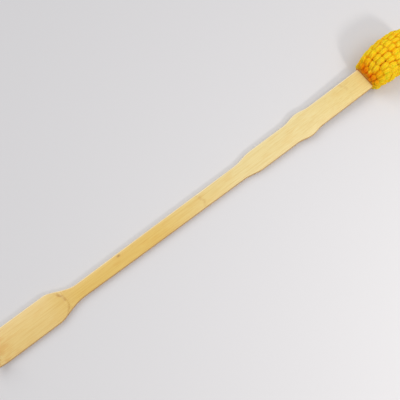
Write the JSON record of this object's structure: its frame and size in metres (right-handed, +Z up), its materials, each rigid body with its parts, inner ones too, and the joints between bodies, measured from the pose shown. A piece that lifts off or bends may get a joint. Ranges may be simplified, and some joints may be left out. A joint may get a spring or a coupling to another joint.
{
  "type": "back scrubber",
  "caption": "Long flat bamboo back scrubber: a sponge head covered in soft chenille tufts at one end and a curled scratching hand at the other.",
  "frame": {"origin": "middle of the footprint, on the surface the scrubber lies on", "axes": "+X along the strip from the scratching hand to the tufted head, +Z up, which is the side the fingers curl towards"},
  "size_m": [0.479, 0.038, 0.0379],
  "materials": {
    "bamboo": "sanded split bamboo under a thin clear satin varnish",
    "chenille_yarn": "bright yellow microfibre chenille, short dense pile",
    "cover_cloth": "yellow knitted backing cloth, matt",
    "sewing_thread": "yellow polyester thread",
    "sponge": "cream open-cell foam",
    "felt": "off-white needle felt"
  },
  "bodies": {
    "root": {"bamboo_handle": "bamboo", "sponge_core": "sponge", "back_pad": "felt", "cover_front_panel": "cover_cloth", "cover_rear_panel": "cover_cloth", "side_seam_thread": "sewing_thread", "neck_hem": "cover_cloth", "neck_binding_thread": "sewing_thread", "tuft_row_01": "chenille_yarn", "tuft_row_02": "chenille_yarn", "tuft_row_03": "chenille_yarn", "tuft_row_04": "chenille_yarn", "tuft_row_05": "chenille_yarn", "tuft_row_06": "chenille_yarn", "tuft_row_07": "chenille_yarn", "tuft_row_08": "chenille_yarn", "tuft_row_09": "chenille_yarn", "tip_tuft": "chenille_yarn"}
  },
  "joints": []
}
